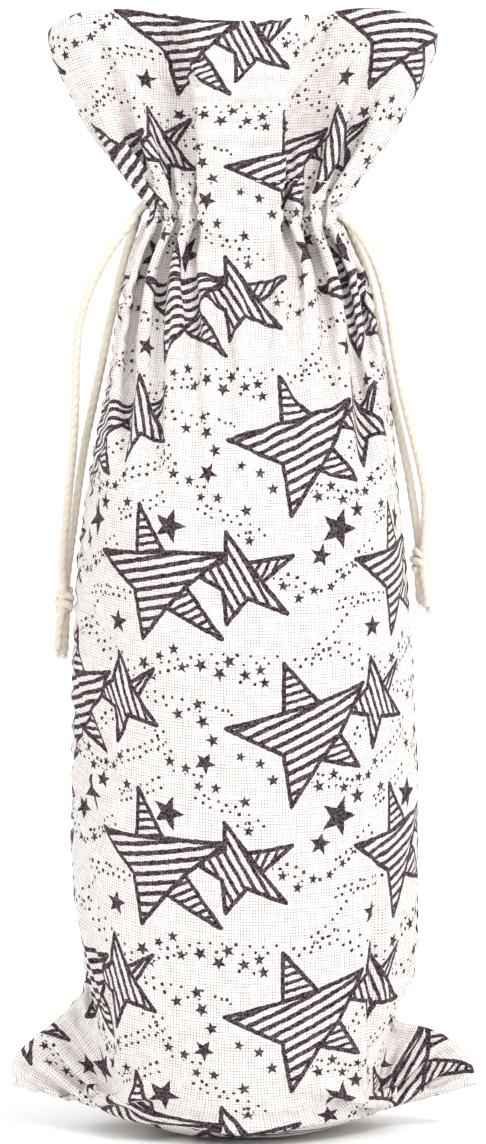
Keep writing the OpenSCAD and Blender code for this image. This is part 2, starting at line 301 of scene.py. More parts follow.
def settle(points, pins, hold, steps):
    """Lets a tube of cloth, front then back panel, settle on the gift and the floor.

    Each round moves every point a little by gravity and the gift's push, then restores the
    threads' lengths, their stiffness against tight bends, and the contacts.
    """
    P = points.copy()
    rows, columns = P.shape[:2]
    front_last = columns // 2
    damping, furthest, gravity, gift_push = 0.9, 0.6, 0.0006, 0.002
    start, old, pinned = points.copy(), points.copy(), points[pins].copy()
    free = np.where(pins, 0.0, 1.0)
    across, upward = np.arange(columns), np.arange(rows)
    is_front = across <= front_last
    mirror = (columns - across) % columns
    gift_z, gift_a, gift_b = np.array(GIFT, float).T
    below_neck = (upward * CELL < NECK_V)[:, None]
    push_rows = np.clip((NECK_V - 8 - upward * CELL) / 20, 0, 1)[:, None] * free

    def pull_threads(up, along, group, strength, only_push=False):
        """Brings the two ends of each thread of one kind back to their distance."""
        off, turn = (up, along) if up else (along, 0)
        points, loose = (P, free) if up else (P.swapaxes(0, 1), free.T)
        near = upward[:rows - up] if up else across
        near = near[(near % (2 * off)) // off == group]
        far = (near + off) % len(points)
        a, b = points[near], np.roll(points[far], -turn, axis=1)
        wa, wb = loose[near], np.roll(loose[far], -turn, axis=1)
        d = b - a
        length = np.sqrt((d * d).sum(-1)) + 1e-9
        error = length - CELL * math.hypot(up, along)
        if only_push:
            error = np.minimum(error, 0)
        d *= (strength * error / length / (wa + wb + 1e-9))[..., None]
        points[near] += wa[..., None] * d
        points[far] = np.roll(b - wb[..., None] * d, turn, axis=1)

    def keep_in_order(group):
        """A panel's columns stay side by side, so that folds never cross."""
        for first, last, side in ((0, front_last, 1), (front_last, columns, -1)):
            idx = np.arange(first + group, last, 2)
            far = (idx + 1) % columns
            gap = side * (P[:, far, 0] - P[:, idx, 0])
            short = np.minimum(gap - 0.3, 0) * side / 2 * below_neck
            P[:, idx, 0] += short * free[:, idx]
            P[:, far, 0] -= short * free[:, far]

    for _ in range(steps):
        move = np.clip((P - old) * damping * free[..., None], -furthest, furthest)
        old = P.copy()
        P += move
        P[..., 2] -= gravity * free
        normal = np.cross(np.roll(P, -1, 1) - np.roll(P, 1, 1), np.gradient(P, axis=0))
        normal /= np.sqrt((normal * normal).sum(-1, keepdims=True)) + 1e-9
        P += normal * (gift_push * push_rows)[..., None]
        for group in (0, 1):
            for up, along, strength in ((0, 1, 0.9), (1, 0, 0.9), (1, 1, 0.25), (1, -1, 0.25)):
                pull_threads(up, along, group, strength)
            pull_threads(0, 2, group, 0.2, only_push=True)
            pull_threads(2, 0, group, 0.2, only_push=True)
            keep_in_order(group)
        P += (start - P) * (hold * free)[..., None]
        # The gift, a little lumpy in its wrapping.
        x, z = P[..., 0], P[..., 2]
        a, b = np.interp(z, gift_z, gift_a, right=1e-3), np.interp(z, gift_z, gift_b, right=1e-3)
        lumps = 1 + 0.02 * np.sin(z / 17 + 0.9 * np.sin(x / 19)) * np.sin(x / 16 + z / 41 + 0.6)
        depth = np.sqrt((x / a) ** 2 + (P[..., 1] / b) ** 2) / lumps + 1e-9
        inside = (depth < 1) & (z > 1) & (z < 300) & (free > 0)
        under = inside & (z < 6) & (depth < 0.9)
        P[..., 2] = np.where(under, z - 0.3, z)
        P[..., :2] *= np.where(inside & ~under, 1 / depth, 1)[..., None]
        # The floor, and the seam's stiffness that lifts the two corners off it.
        lift = np.clip((np.abs(P[..., 0]) - FLAT_BASE) / 65, 0, 1) ** 1.15
        P[..., 2] = np.maximum(P[..., 2], 0.5 + CORNER_LIFT * lift)
        # Each panel stays on its own side of the seams, and the bottom edges are sewn together.
        P[:, is_front, 1] = np.minimum(P[:, is_front, 1], -THIN)
        P[:, ~is_front, 1] = np.maximum(P[:, ~is_front, 1], THIN)
        P[:, [0, front_last], 1] = -THIN
        P[0] = (P[0] + P[0, mirror] * [1, -1, 1]) / 2
        P[0, :, 1] = np.where(is_front, -THIN, THIN)
        P[pins] = pinned
    return P


def finer(grid, axis):
    """Twice as many cells along one axis, on a smooth curve."""
    g = np.moveaxis(grid, axis, 0)
    ahead = np.concatenate([g[1:], 2 * g[-1:] - g[-2:-1]])
    behind = np.concatenate([2 * g[:1] - g[1:2], g[:-1]])
    between = (9 * (g[:-1] + g[1:]) - behind[:-1] - ahead[1:]) / 16
    out = np.empty((2 * len(g) - 1,) + g.shape[1:])
    out[::2], out[1::2] = g, between
    return np.moveaxis(out, 0, axis)


def settled_panels():
    """Front and back panel as grids of points 1 mm apart, from left seam to right seam."""
    u = np.linspace(-HALF_W, HALF_W, int(PANEL_W / CELL) + 1)
    v = np.arange(int((NECK_V + FRILL_V) / CELL) + 1) * CELL
    front = front_start(u, v)
    back = front[:, -2:0:-1] * [1, -1, 1]
    around_u = np.concatenate([u, u[-2:0:-1]])
    h = (v - NECK_V)[:, None]
    pins = np.repeat(np.abs(h) <= 2, len(around_u), axis=1)
    from_seam = (HALF_W - np.abs(around_u))[None]
    frill = 0.04 * ramp(h, 3, 10)
    shoulder = 0.012 * ramp(h, -70, -30) * (1 - ramp(h, -6, -3))
    seams = 0.06 * np.exp(-(from_seam / 6) ** 2) * (1 - ramp(h, -6, -3))
    ears = 0.03 * (1 - ramp(h + NECK_V, 44, 80)) * (1 - ramp(from_seam, 20, 34))
    hold = np.maximum(np.maximum(frill + 0 * from_seam, shoulder), np.maximum(seams, ears))
    tube = settle(np.concatenate([front, back], axis=1), pins, hold, 500)
    last = len(u) - 1
    front, back = tube[:, :last + 1], tube[:, [0] + list(range(tube.shape[1] - 1, last - 1, -1))]
    return [finer(finer(g, 0), 1) for g in (front, back)]


def normals_of(grid):
    """Unit normals of a grid, pointing away from the front panel's inside."""
    return unit(np.cross(np.gradient(grid, axis=1), np.gradient(grid, axis=0)))


def add_fine_folds(grid, side):
    """Soft wrinkles, shoulder folds, seam pucker and the room that the cords need, on one panel."""
    rows, columns = grid.shape[:2]
    u = np.linspace(-HALF_W, HALF_W, columns)[None]
    v = np.arange(rows)[:, None] * 1.0
    n = normals_of(grid) * side
    turn = 0.7 * side
    ripple = (0.22 * np.sin(u / 7.3 + 1.3 * np.sin(v / 23 + turn)) * np.sin(v / 31 + u / 37)
              + 0.12 * np.sin(v / 4.7 + u / 9 + 2 * np.sin(u / 13 + turn)) * np.sin(u / 21 + 1))
    from_seam = HALF_W - np.abs(u)
    pucker = 0.16 * np.sin(v * 1.1 + 2.2 * np.sin(v / 13 + turn)) * np.exp(-from_seam / 4.5)
    crease = -2.8 * np.exp(-((u - 45 - v / 40) / 2.4) ** 2)
    crease = crease * ramp(v, 50, 66) * (1 - ramp(v, 96, 124)) * (side > 0)
    body = 1 - ramp(v, NECK_V - 60, NECK_V - 30)
    h = v - NECK_V
    crumple = (0.55 * np.sin(u * 1.15 + 1.2 * np.sin(v / 3.1 + u / 5 + turn)) * np.exp(-((h + 1) / 9) ** 2)
               + 0.35 * np.sin(v * 0.95 + 2 * np.sin(u / 4.2 + turn)) * np.exp(-((h - 1) / 7) ** 2))
    crumple *= ramp(from_seam, 2, 10)
    rolled_edge = 0.4 * np.exp(-((v - 1) / 0.9) ** 2) - 0.3 * np.exp(-((v - 3) / 0.8) ** 2)
    below_neck = ramp(h, -66, -30) * (1 - ramp(h, -14, -5))
    for middle, lean, width, height in SHOULDER_RIDGES:
        at = (side * grid[..., 0] - middle + lean * h) / width
        grid[..., 1] -= side * height * below_neck * np.exp(-at ** 2)
    grid = grid + n * ((ripple + crease) * body + pucker + crumple + rolled_edge)[..., None]
    # Room for the cord inside the casing, and a slit at each seam that the cords spread.
    x = np.abs(grid[..., 0])
    slit_top = 10 + 6 * ramp(x, 22, 28)
    near = 1 - ramp(np.where(h > 0, h * 10 / slit_top, -h), 4.5, 10)
    room = 4.1 + 2.0 * (1 - ramp(x, 21, 31))
    y = grid[..., 1]
    grid[..., 1] = np.where(side > 0, np.minimum(y, -room * near), np.maximum(y, room * near))
    # The seam itself closes, apart from the slit.
    seam = grid[:, [0, -1], 1]
    grid[:, [0, -1], 1] = np.where(np.abs(seam) < 2 * THIN, -0.06 * side, seam)
    grid[0, :, 1] = -0.06 * side
    return grid


def with_facing(grid, side):
    """The panel with its top edge folded over and turned down inside as a facing.

    Returns the grid and each row's flat height, which runs on over the fold.
    """
    n = normals_of(grid) * side
    rows = grid.shape[0]
    v = list(np.arange(rows) * 1.0)
    out = list(grid)
    top, tn = grid[-1], n[-1]
    up = unit(grid[-1] - grid[-4])
    fold_r, fold_steps = 0.8, 6
    for k in range(1, fold_steps):
        a = pi * k / fold_steps
        out.append(top - tn * fold_r * (1 - math.cos(a)) + up * fold_r * math.sin(a))
        v.append(v[-1] + fold_r * pi / fold_steps)
    u = np.linspace(-HALF_W, HALF_W, grid.shape[1])
    narrow = 0.1 + 0.9 * ramp(HALF_W - np.abs(u), 0, 8)[:, None]
    for down in range(0, FACING_H, 2):
        j = rows - 1 - down
        out.append(grid[j] - n[j] * narrow * (2 * fold_r - 0.7 * ramp(down, 16, 44)))
        v.append(v[-1] + (2 if down else 0.4))
    points = np.array(out)
    inner = points[rows:, :, 1]
    points[rows:, :, 1] = np.minimum(inner, -0.1) if side > 0 else np.maximum(inner, 0.1)
    return points, np.array(v)


# ---- the star print

REPEAT = (88.0, 90.0)          # the print's repeat across and up the cloth
FIRST_STAR = (-27.0, 24.0)     # middle of one lower star group on the front panel
GROUP_B = (45.5, 44.0)         # from that group to the upper group of the same repeat
FLAT_SCALE = (1.04, 0.95)      # print on the slack cloth against print on the filled sack
LINE_W, HATCH_W = 1.4, 1.45    # an outline, and a hatch line where its pitch is HATCH_PITCH
HATCH_PITCH = 3.1
NEAR_LINES = 3                 # how many outlines each small face of cloth knows of
EDGE_BLUR = 0.12
LARGEST_DOT = 0.9              # a spot with a larger radius is a small star
# A star's outline alternates tips and notches: left tip, notch, top, notch, right, notch,
# lower right, notch, bottom, notch.
BIG_A = [
    (-23, 4.7), (-8, 5.8), (-7.5, 22), (1.2, 7), (20.6, 7.4), (8.4, -4), (19.5, -20.4), (2.4, -11.3),
    (-6, -22.5), (-8.8, -6.4)]
SMALL_A = [
    (11.4, 0.4), (20.6, 5.3), (20.4, 14.3), (27.2, 4.5), (40.8, 6.8), (31.4, -1.8), (39, -12), (27.2, -7),
    (20.8, -15.4), (19.7, -4.5)]
BIG_B = [
    (-24.7, 1), (-7.4, 6.2), (-7.4, 22.3), (3.5, 9.2), (19.4, 14.1), (10.7, -1.7), (17.8, -13.4),
    (4.3, -9.6), (-5, -24.3), (-7.4, -7.4)]
SMALL_B = [
    (13, 5.5), (21, 12), (22.5, 22), (28, 12.5), (37, 18.5), (31, 8.5), (38, 0), (27.5, 1.5), (23.5, -8),
    (21.5, 3)]
# Each hatch is the direction of its lines in degrees and their pitch.
# An arm that is closed off by a line has a hatch of its own: (first notch, last notch, hatch).
STAR_GROUPS = [
    ((0, 0), [(BIG_A, (13, 3.1), [(1, 3, (12, 2.5)), (5, 7, (27, 2.5))]),
              (SMALL_A, (-60, 2.7), [(3, 5, (63, 2.4))])]),
    (GROUP_B, [(BIG_B, (24, 3.1), [(1, 3, (14, 2.5)), (5, 7, (12, 2.4))]),
               (SMALL_B, (-67, 2.6), [(3, 5, (50, 2.3))])])]
# Small solid stars, from the middle of the first group: across, up, radius.
SOLID_STARS = [
    (-29, 15.1, 5.6), (2.8, 15.7, 4.8), (49.6, 6.6, 3.2), (-16, -18.4, 3.3), (14.4, 33.4, 3),
    (62.5, 21, 2.5), (4.6, 70, 1.7), (-0.1, 67.3, 1.5), (13.1, 65.4, 2), (7.3, 64.2, 1.6),
    (21.6, 67, 1.9), (18.8, 62.9, 2.1), (26.5, 62.7, 1.8), (31, 64.4, 1.7), (32.3, 60.3, 1.7),
    (-2.5, 60.3, 1.7), (-16, 61.4, 1.3), (-8, 51.6, 1.8), (12.2, 52.5, 1.8), (6, 48.8, 1.8),
    (13.7, 46.9, 2), (16.7, 40.9, 1.9), (25.1, 36, 1.5), (31, 33.8, 1.6), (34.9, 28.4, 1.7),
    (3.4, 32.8, 1.7), (8.5, 31.1, 1.6), (12.4, 25.6, 1.5), (17.8, 25.3, 1.6), (26.5, 21.3, 1.8),
    (-12, 22.1, 1.7), (27.6, 11.7, 1.6), (61.1, 3.4, 1.7), (57.1, -0.5, 1.4), (52.8, -3.7, 1.5),
    (47.4, -4.7, 1.6), (42.5, -7.1, 1.6), (37.8, -3, 1.6), (49, 25.6, 1.8), (54, 29.2, 1.7),
    (57.5, 24.5, 1.7), (63, 27.1, 1.5), (67, 27, 1.6), (70, 31, 1.4), (79, 64, 2.2)]
# Dotted trails: three points of a curve, rows of dots and dots in a row.
DOT_TRAILS = [
    ((-26, 69), (-12, 62), (-4, 54), 3, 8), ((-4, 54), (6, 51), (16, 52.5), 2, 6),
    ((-3, 62), (12, 70), (38, 67), 2, 12), ((20, 61), (30, 59), (36, 61), 1, 4),
    ((40, 66), (50, 67), (58, 72.5), 2, 6), ((-4, 43), (0, 36), (4, 35), 2, 4),
    ((5, 30), (12, 28), (16, 29), 1, 4), ((12, 23), (18, 18), (25, 19), 2, 5),
    ((-15, 20), (-12, 19), (-9, 22), 1, 4), ((24, 15), (30, 17), (31, 12), 2, 4),
    ((35, 1), (42, -2), (50, -7), 2, 6), ((54, -1), (62, 3), (69, 11), 2, 7),
    ((65, -7), (58, -14), (54, -18), 1, 6), ((55, -20), (50, -24), (45, -26), 2, 4),
    ((47, 29), (56, 25), (66, 25), 2, 9), ((68, 30), (78, 33), (88, 42), 2, 9),
    ((70, 17), (78, 21), (86, 26), 2, 8), ((-30, -10), (-20, -7), (-10, -9.5), 2, 8),
    ((18, 52), (22, 51), (24, 49), 1, 4), ((-28, 36), (-22, 40), (-18, 46), 2, 5)]


def curve_at(points, t):
    a, b, c = (np.array(p, float) for p in points)
    return a * (1 - t) ** 2 + 2 * b * t * (1 - t) + c * t ** 2


def print_spots():
    """Every dot and small solid star of one repeat: across, up, radius."""
    spots = [(x, y, radius * 1.2) for x, y, radius in SOLID_STARS]
    for a, b, c, lines, count in DOT_TRAILS:
        for row in range(lines):
            for k in range(count):
                t = (k + 0.5 * (row % 2)) / count
                place = curve_at((a, b, c), t)
                ahead = curve_at((a, b, c), t + 0.05) - place
                aside = np.array([-ahead[1], ahead[0]]) / (norm(ahead) + 1e-9)
                place = place + aside * 2.5 * (row - (lines - 1) / 2)
                place += rng.uniform(-0.5, 0.5, 2)
                radius = rng.choice([0.45, 0.52, 0.6])
                spots.append((place[0], place[1], radius))
    return spots


def inside_outline(points, outline):
    """Whether each point is inside a closed outline."""
    x, y = points[:, 0], points[:, 1]
    inside = np.zeros(len(points), bool)
    for k, (x0, y0) in enumerate(outline):
        x1, y1 = outline[k - 1]
        crosses = ((y0 > y) != (y1 > y)) & (x < (x1 - x0) * (y - y0) / (y1 - y0 + 1e-12) + x0)
        inside ^= crosses
    return inside


class PrintMap:
    """What is printed in each small face of cloth.

    Each face keeps its nearest lines (start and run), its hatch (direction over pitch, and a
    shift) and its nearest spot (middle and radius).
    """

    def __init__(self, centres):
        self.centres = centres
        count = len(centres)
        self.line_gap = np.full((count, NEAR_LINES), 1e3)
        self.line_start = np.full((count, NEAR_LINES, 2), -1e3)
        self.line_run = np.full((count, NEAR_LINES, 2), 1.0)
        self.hatch = np.zeros((count, 3))
        self.spot = np.full((count, 3), -1e3)
        self.spot_gap = np.full(count, 1e3)

    def near(self, low, high):
        """Numbers of the faces in a box."""
        return np.nonzero(np.all((self.centres > low) & (self.centres < high), axis=1))[0]

    def add_line(self, a, b, hidden):
        """An inked line, for each face that it is one of the nearest lines of."""
        a, b = np.array(a, float), np.array(b, float)
        reach = 2.4
        here = self.near(np.minimum(a, b) - reach, np.maximum(a, b) + reach)
        here = here[~hidden[here]]
        run = b - a
        t = np.clip(((self.centres[here] - a) @ run) / (run @ run), 0, 1)
        gap = norm(self.centres[here] - a - t[:, None] * run, axis=1)
        here, gap = here[gap < reach], gap[gap < reach]
        gaps = np.column_stack([self.line_gap[here], gap])
        nearest = np.argsort(gaps, axis=1, kind="stable")[:, :NEAR_LINES]
        self.line_gap[here] = np.take_along_axis(gaps, nearest, 1)
        for kept, new in ((self.line_start, a), (self.line_run, run)):
            new_column = np.broadcast_to(new, (len(here), 1, 2))
            known = np.concatenate([kept[here], new_column], axis=1)
            kept[here] = np.take_along_axis(known, nearest[..., None], 1)

    def add_hatch(self, outline, hatch, hidden):
        outline = np.array(outline, float)
        here = self.near(outline.min(0), outline.max(0))
        here = here[inside_outline(self.centres[here], outline) & ~hidden[here]]
        angle, pitch = math.radians(hatch[0]), hatch[1]
        along = np.array([-math.sin(angle), math.cos(angle)]) / pitch
        self.hatch[here] = (along[0], along[1], 0.37 - along @ outline.mean(0))

    def add_spot(self, place, radius):
        reach = radius + 1.2
        here = self.near(np.array(place) - reach, np.array(place) + reach)
        gap = norm(self.centres[here] - place, axis=1) - radius
        closer = gap < self.spot_gap[here]
        rows = here[closer]
        self.spot[rows] = (place[0], place[1], radius)
        self.spot_gap[rows] = gap[closer]

    def add_star(self, outline, hatch, arms, hidden):
        """A hatched star, with some arms closed off; hidden faces are under a nearer star."""
        self.add_hatch(outline, hatch, hidden)
        for first, last, arm_hatch in arms:
            self.add_hatch(outline[first:last + 1], arm_hatch, hidden)
            self.add_line(outline[first], outline[last], hidden)
        for k, point in enumerate(outline):
            self.add_line(outline[k - 1], point, hidden)


def print_on(centres):
    """Lays the repeating print on faces whose middles are at these flat places."""
    marks = PrintMap(centres)
    spots = print_spots()
    scale = np.array(FLAT_SCALE)
    low, high = centres.min(0), centres.max(0)
    first = ((low - FIRST_STAR) // REPEAT).astype(int) - 1
    last = ((high - FIRST_STAR) // REPEAT).astype(int) + 1
    for i in range(first[0], last[0] + 1):
        for j in range(first[1], last[1] + 1):
            corner = np.array(FIRST_STAR) + np.array(REPEAT) * (i, j)
            covered = np.zeros(len(centres), bool)
            for offset, stars in STAR_GROUPS:
                for outline, hatch, arms in stars:
                    flat = (np.array(outline) + offset) * scale + corner
                    marks.add_star(flat, hatch, arms, covered)
                    box = marks.near(flat.min(0), flat.max(0))
                    covered[box] |= inside_outline(centres[box], flat)
            for x, y, radius in spots:
                marks.add_spot(np.array((x, y)) * scale + corner, radius)
    taken = (marks.line_gap[:, 0] < 1.2) | (np.abs(marks.hatch).sum(1) > 0)
    marks.spot[taken] = -1e3
    return marks


# ---- materials

class Nodes:
    """Short ways to write a material's nodes."""

    def __init__(self, name):
        self.material = bpy.data.materials.new(name)
        self.material.use_nodes = True
        self.tree = self.material.node_tree
        self.shader = self.tree.nodes["Principled BSDF"]

    def add(self, kind, values=(), output=0, **settings):
        node = self.tree.nodes.new("ShaderNode" + kind)
        for key, value in settings.items():
            setattr(node, key, value)
        for key, value in (values.items() if isinstance(values, dict) else enumerate(values)):
            if isinstance(value, bpy.types.NodeSocket):
                self.tree.links.new(value, node.inputs[key])
            elif value is not None:
                node.inputs[key].default_value = value
        return node.outputs[output]

    def math(self, operation, *values, clamp=False):
        return self.add("Math", values, operation=operation, use_clamp=clamp)

    def vector(self, operation, *values):
        """A vector node's result, which is a number for a dot product or a length."""
        output = 1 if operation in ("DOT_PRODUCT", "LENGTH") else 0
        return self.add("VectorMath", values, output, operation=operation)

    def parts(self, vector):
        """The x, y and z of a vector."""
        node = self.tree.nodes.new("ShaderNodeSeparateXYZ")
        self.tree.links.new(vector, node.inputs[0])
        return node.outputs

    def attribute(self, name):
        return self.add("Attribute", output=1, attribute_name=name)

    def noise(self, vector, scale, detail=2, color=False):
        values = {"Vector": vector, "Scale": scale, "Detail": detail}
        return self.add("TexNoise", values, output=1 if color else 0)

    def step(self, value, a, b, low=0.0, high=1.0):
        """Goes smoothly from low to high as value goes from a to b."""
        values = (value, a, b, low, high)
        return self.add("MapRange", values, interpolation_type="SMOOTHSTEP")

    def mix(self, share, a, b):
        return self.add("Mix", {0: share, 6: a, 7: b}, output=2, data_type="RGBA")

    def bump(self, height, strength, distance):
        return self.add("Bump", {"Height": height, "Strength": strength, "Distance": distance})

    def link(self, socket, value):
        self.tree.links.new(value, self.shader.inputs[socket])

    def set(self, **values):
        for key, value in values.items():
            self.shader.inputs[key.replace("_", " ")].default_value = value


def line_ink(n, p):
    """Ink of the stars' outlines at p, from the lines stored on the face."""
    ink = None
    for k in range(NEAR_LINES):
        run = n.attribute(f"line_{k}_run")
        reach = n.vector("SUBTRACT", p, n.attribute(f"line_{k}_start"))
        along = n.math("DIVIDE", n.vector("DOT_PRODUCT", reach, run),
                       n.vector("DOT_PRODUCT", run, run), clamp=True)
        nearest = n.vector("SCALE", run, None, None, along)
        gap = n.vector("LENGTH", n.vector("SUBTRACT", reach, nearest))
        line = n.step(gap, LINE_W / 2 + EDGE_BLUR, LINE_W / 2 - EDGE_BLUR)
        ink = line if ink is None else n.math("MAXIMUM", ink, line)
    return ink


def hatch_ink(n, p):
    """Ink of the hatch stored on the face, at p."""
    phase = n.math("FRACT", n.vector("DOT_PRODUCT", p, n.attribute("hatch")))
    from_line = n.math("ABSOLUTE", n.math("SUBTRACT", phase, 0.5))
    half_share = HATCH_W / HATCH_PITCH / 2
    return n.step(from_line, half_share + 0.04, half_share - 0.04)


def spot_ink(n, p):
    """Ink of the dot, or of the five-pointed star where it is larger, stored on the face."""
    spot = n.attribute("spot")
    radius = n.parts(spot)[2]
    away = n.vector("MULTIPLY", n.vector("SUBTRACT", p, spot), (1, 1, 0))
    x, y, _ = n.parts(away)
    # The angle from the nearest point of the star, which is turned about by its radius.
    turn = n.math("MULTIPLY_ADD", n.math("ARCTAN2", x, y), 5 / (2 * pi), radius)
    to_notch = n.math("ABSOLUTE", n.math("SUBTRACT", n.math("FRACT", turn), 0.5))
    share = n.math("SUBTRACT", 1, n.math("MULTIPLY", to_notch, 2))
    angle = n.math("MULTIPLY", share, pi / 5)
    # How far out the edge from that point to the notch lies, where the star's radius is 1.
    notch_r = 0.42
    opposite = n.math("SINE", n.math("SUBTRACT", pi / 5, angle))
    under = n.math("MULTIPLY_ADD", opposite, notch_r, n.math("SINE", angle))
    star = n.math("DIVIDE", notch_r * math.sin(pi / 5), under)
    pointed = n.math("GREATER_THAN", radius, LARGEST_DOT)
    rounded = n.math("SUBTRACT", 1, pointed)
    share = n.math("ADD", n.math("MULTIPLY", star, pointed), rounded)
    past_edge = n.math("SUBTRACT", n.vector("LENGTH", away), n.math("MULTIPLY", radius, share))
    return n.step(past_edge, EDGE_BLUR, -EDGE_BLUR)


def ink_mask(n, flat):
    """Where the star print's ink lies, with slightly uneven edges."""
    wobble = n.vector("SUBTRACT", n.noise(flat, 0.45, 3, color=True), (0.5, 0.5, 0.5))
    p = n.vector("MULTIPLY_ADD", wobble, (0.9, 0.9, 0), flat)
    ink = n.math("MAXIMUM", line_ink(n, p), hatch_ink(n, p))
    return n.math("MAXIMUM", ink, spot_ink(n, p))


THREAD_PITCH = 0.92


def printed_cotton():
    """Open plain-weave white cotton with a dark purple-grey star print, and painted shade in the gaps
    between its threads.
    """
    n = Nodes("printed_cotton")
    flat = n.attribute("flat")
    drift = n.vector("SUBTRACT", n.noise(flat, 0.12, 2, color=True), (0.5, 0.5, 0.5))
    threads = n.vector("MULTIPLY_ADD", drift, (0.8, 0.8, 0), flat)
    across, upward = (n.math("SINE", n.math("MULTIPLY", part, 2 * pi / THREAD_PITCH))
                      for part in n.parts(threads)[:2])
    weft_slubs = n.noise(n.vector("MULTIPLY", flat, (0.25, 2.2, 1)), 0.8, 2)
    warp_slubs = n.noise(n.vector("MULTIPLY", flat, (2.2, 0.25, 1)), 0.8, 2)
    uneven = n.math("ADD", weft_slubs, warp_slubs)
    # pore marks the gaps between the threads: it drives the weave's bump, thins the ink there and carries
    # the painted shade mixed in below.
    pore = n.math("MULTIPLY", n.step(across, -0.1, 0.6), n.step(upward, -0.1, 0.6))
    pore = n.math("MULTIPLY", pore, n.step(uneven, 0.75, 1.2, 1, 0.5))
    speckle = n.step(n.noise(flat, 1.7, 2), 0.36, 0.6, 0.84, 1)
    on_threads = n.math("SUBTRACT", 1, n.math("MULTIPLY", pore, 0.15))
    ink = n.math("MULTIPLY", ink_mask(n, flat), n.math("MULTIPLY", speckle, on_threads))
    patches = n.noise(flat, 0.035, 3)
    cloth = n.mix(patches, (0.73, 0.665, 0.63, 1), (0.80, 0.76, 0.745, 1))
    cloth = n.mix(n.step(uneven, 0.7, 1.35), cloth, (0.86, 0.835, 0.825, 1))
    # Painted shade: the gaps between the threads are coloured dark, as the shade that falls between them.
    cloth = n.mix(n.math("MULTIPLY", pore, 0.95), cloth, (0.17, 0.14, 0.13, 1))
    dark = n.mix(n.noise(flat, 0.6, 2), (0.015, 0.004, 0.012, 1), (0.042, 0.016, 0.034, 1))
    n.link("Base Color", n.mix(ink, cloth, dark))
    weave = n.math("ADD", n.math("MULTIPLY", across, upward), n.math("MULTIPLY", pore, -1.2))
    height = n.math("MULTIPLY_ADD", uneven, 0.9, weave)
    n.link("Normal", n.bump(height, 0.35, 0.00018))
    n.link("Roughness", n.step(ink, 0, 1, 0.95, 0.88))
    n.set(Sheen_Weight=0.03, Sheen_Roughness=0.6, Specular_IOR_Level=0.12)
    return n.material


def cord_cotton():
    """Soft off-white twisted cotton, with fine fibres along each ply."""
    n = Nodes("cord_cotton")
    lay = n.attribute("lay")
    fibres = n.noise(n.vector("MULTIPLY", lay, (9, 1.1, 1)), 1.0, 4)
    fuzz = n.noise(lay, 3.5, 3)
    tone = n.mix(fibres, (0.70, 0.62, 0.51, 1), (0.90, 0.85, 0.765, 1))
    n.link("Base Color", n.mix(n.step(fuzz, 0.45, 0.75, 0, 0.5), tone, (0.92, 0.885, 0.82, 1)))
    n.link("Normal", n.bump(n.math("ADD", fibres, fuzz), 0.5, 0.0003))
    n.set(Roughness=0.93, Sheen_Weight=0.3, Sheen_Roughness=0.5, Specular_IOR_Level=0.2)
    return n.material


def sewing_thread():
    """White twisted sewing thread."""
    n = Nodes("sewing_thread")
    plies = n.noise(n.vector("MULTIPLY", n.attribute("lay"), (7, 3, 1)), 1.0, 3)
    n.link("Base Color", n.mix(plies, (0.80, 0.77, 0.71, 1), (0.93, 0.91, 0.87, 1)))
    n.link("Normal", n.bump(plies, 0.4, 0.0001))
    n.set(Roughness=0.7, Sheen_Weight=0.2, Specular_IOR_Level=0.4)
    return n.material


def raw_cotton():
    """The unprinted wrong side of the cloth, where it shows in the seam allowances."""
    n = Nodes("raw_cotton")
    threads = n.noise(n.vector("MULTIPLY", n.attribute("lay"), (1, 6, 1)), 1.2, 3)
    n.link("Base Color", n.mix(threads, (0.74, 0.69, 0.62, 1), (0.88, 0.855, 0.81, 1)))
    n.link("Normal", n.bump(threads, 0.5, 0.0002))
    n.set(Roughness=0.95, Sheen_Weight=0.2, Specular_IOR_Level=0.2)
    return n.material


def floor_material():
    """A plain white floor."""
    n = Nodes("studio_floor")
    n.set(Base_Color=(0.93, 0.93, 0.925, 1), Roughness=0.6, Specular_IOR_Level=0.2)
    return n.material


# ---- cloth pieces

def set_vectors(mesh, name, domain, values):
    store = mesh.attributes.new(name, "FLOAT_VECTOR", domain)
    store.data.foreach_set("vector", np.asarray(values, np.float32).ravel())


def frill_drift(u, v):
    """How far across and up the print is moved on the left middle of the frill."""
    share = ramp(v, NECK_V + 22, NECK_V + 55) * np.exp(-((u + 18) / 28) ** 2)
    return 5.5 * share, -2.5 * share


def cloth_panel(name, grid, side, material, print_shift):
    """One panel as a mesh, with its flat places (across, up, 1) and its print stored on it."""
    points, v = with_facing(grid, side)
    rows, columns = points.shape[:2]
    faces = grid_faces(rows, columns, flip=side < 0)
    piece = mesh_object(name, points.reshape(-1, 3) * MM, faces.tolist(), material)
    u = np.linspace(-HALF_W, HALF_W, columns)
    drift_u, drift_v = frill_drift(u[None], v[:, None])
    across, up = u[None] - drift_u + print_shift[0], v[:, None] - drift_v + print_shift[1]
    flat = np.stack(np.broadcast_arrays(across, up, 1.0), axis=-1).reshape(-1, 3)
    centres = flat[faces].mean(axis=1)[:, :2]
    marks = print_on(centres)
    set_vectors(piece.data, "flat", "POINT", flat)
    for k in range(NEAR_LINES):
        for part, values, last in (("start", marks.line_start, 1), ("run", marks.line_run, 0)):
            values = np.pad(values[:, k], ((0, 0), (0, 1)), constant_values=last)
            set_vectors(piece.data, f"line_{k}_{part}", "FACE", values)
    set_vectors(piece.data, "hatch", "FACE", marks.hatch)
    set_vectors(piece.data, "spot", "FACE", marks.spot)
    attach(piece, "sack")
    return piece


# ---- cords, threads and seams

def curve_points(route, step):
    """Evenly spaced points on a smooth curve through a route."""
    route = np.array(route, float)
    steps = norm(np.diff(route, axis=0), axis=1)
    knots = np.concatenate([[0], np.cumsum(steps)])
    t = np.linspace(0, knots[-1], max(3, int(knots[-1] / step) + 1))
    return np.stack([hermite(t, knots, route[:, k]) for k in range(3)], axis=-1)


